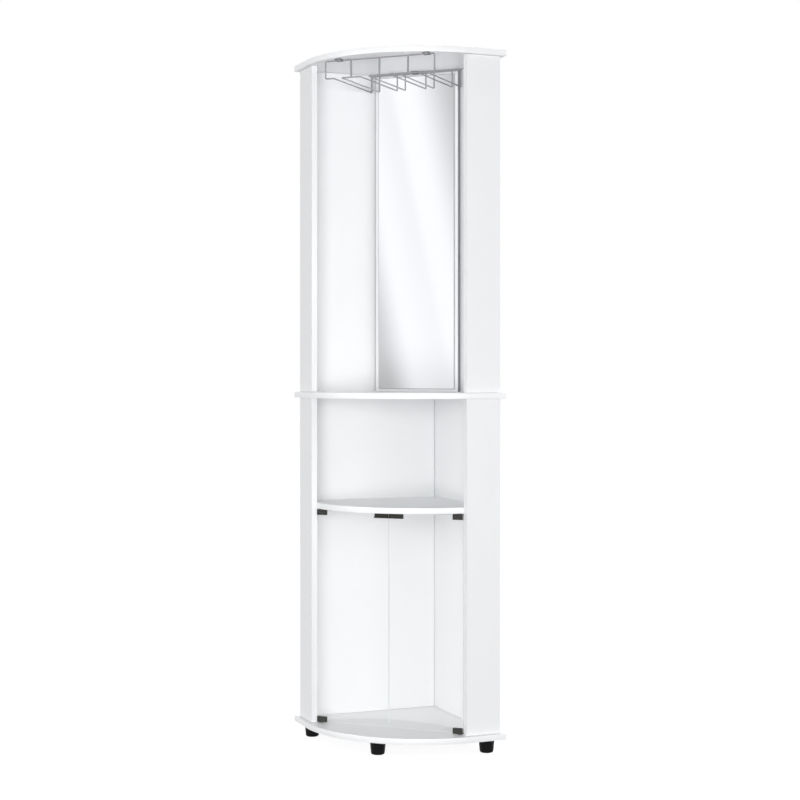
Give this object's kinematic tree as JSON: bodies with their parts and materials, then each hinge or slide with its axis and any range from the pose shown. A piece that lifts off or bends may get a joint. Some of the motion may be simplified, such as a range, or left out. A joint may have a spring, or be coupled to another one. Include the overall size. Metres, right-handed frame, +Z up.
{
  "type": "corner bar cabinet",
  "caption": "Tall white corner bar cabinet with an open mirrored bay, a hanging stemware rack, an open shelf bay and a cupboard with frameless glass doors on pivot hinges.",
  "frame": {"origin": "on the floor, at the centre of the cabinet's footprint box", "axes": "+Z up along the height, -Y is the front, +Y points into the room's corner, +X is to the right as seen from the front"},
  "size_m": [0.6038, 0.4692, 1.8],
  "materials": {
    "laminate": "white melamine laminate on 15 mm board, satin, with matching edge band",
    "mirror": "silvered 3 mm mirror glass",
    "door_glass": "clear 4 mm glass with ground edges",
    "hinge_plastic": "dark grey moulded plastic",
    "grey_plastic": "mid grey moulded plastic",
    "black_plastic": "black moulded plastic",
    "rack_wire": "grey coated steel wire",
    "zinc": "bright zinc plating"
  },
  "bodies": {
    "carcase": {"base_board": "laminate", "middle_board": "laminate", "top_board": "laminate", "cupboard_shelf": "laminate", "left_side_lower": "laminate", "right_side_lower": "laminate", "left_side_upper": "laminate", "right_side_upper": "laminate", "left_back_lower": "laminate", "right_back_lower": "laminate", "left_back_upper": "laminate", "right_back_upper": "laminate", "mirror_board": "laminate", "mirror_glass": "mirror", "left_top_pivot_bush": "black_plastic", "left_bottom_pivot_bush": "black_plastic", "right_top_pivot_bush": "black_plastic", "right_bottom_pivot_bush": "black_plastic", "magnetic_catch": "black_plastic", "left_catch_magnet": "zinc", "right_catch_magnet": "zinc", "glass_rack": "rack_wire", "left_rack_clip": "grey_plastic", "right_rack_clip": "grey_plastic", "rear_rack_clip": "grey_plastic", "left_rack_clip_screw": "zinc", "right_rack_clip_screw": "zinc", "rear_rack_clip_screw": "zinc", "left_foot": "black_plastic", "right_foot": "black_plastic", "rear_foot": "black_plastic", "front_foot": "black_plastic", "left_foot_screw": "zinc", "right_foot_screw": "zinc", "rear_foot_screw": "zinc", "front_foot_screw": "zinc", "top_left_side_screw_1": "zinc", "top_right_side_screw_1": "zinc", "top_left_back_screw_1": "zinc", "top_left_back_screw_2": "zinc", "top_right_back_screw_1": "zinc", "top_right_back_screw_2": "zinc", "base_left_side_screw_1": "zinc", "base_right_side_screw_1": "zinc", "base_left_back_screw_1": "zinc", "base_left_back_screw_2": "zinc", "base_right_back_screw_1": "zinc", "base_right_back_screw_2": "zinc"},
    "left_door": {"left_door_glass": "door_glass", "left_door_top_clip": "hinge_plastic", "left_door_bottom_clip": "hinge_plastic", "left_door_top_set_screw": "zinc", "left_door_bottom_set_screw": "zinc", "left_door_pull": "hinge_plastic"},
    "right_door": {"right_door_glass": "door_glass", "right_door_top_clip": "hinge_plastic", "right_door_bottom_clip": "hinge_plastic", "right_door_top_set_screw": "zinc", "right_door_bottom_set_screw": "zinc", "right_door_pull": "hinge_plastic"}
  },
  "joints": [
    {"name": "left_door_hinge", "type": "hinge", "parent": "carcase", "child": "left_door", "pos_m": [-0.19568, -0.12388, 0.051], "axis": [0, 0, -1], "range_deg": [0, 135]},
    {"name": "right_door_hinge", "type": "hinge", "parent": "carcase", "child": "right_door", "pos_m": [0.19568, -0.12388, 0.051], "axis": [0, 0, 1], "range_deg": [0, 135]}
  ]
}
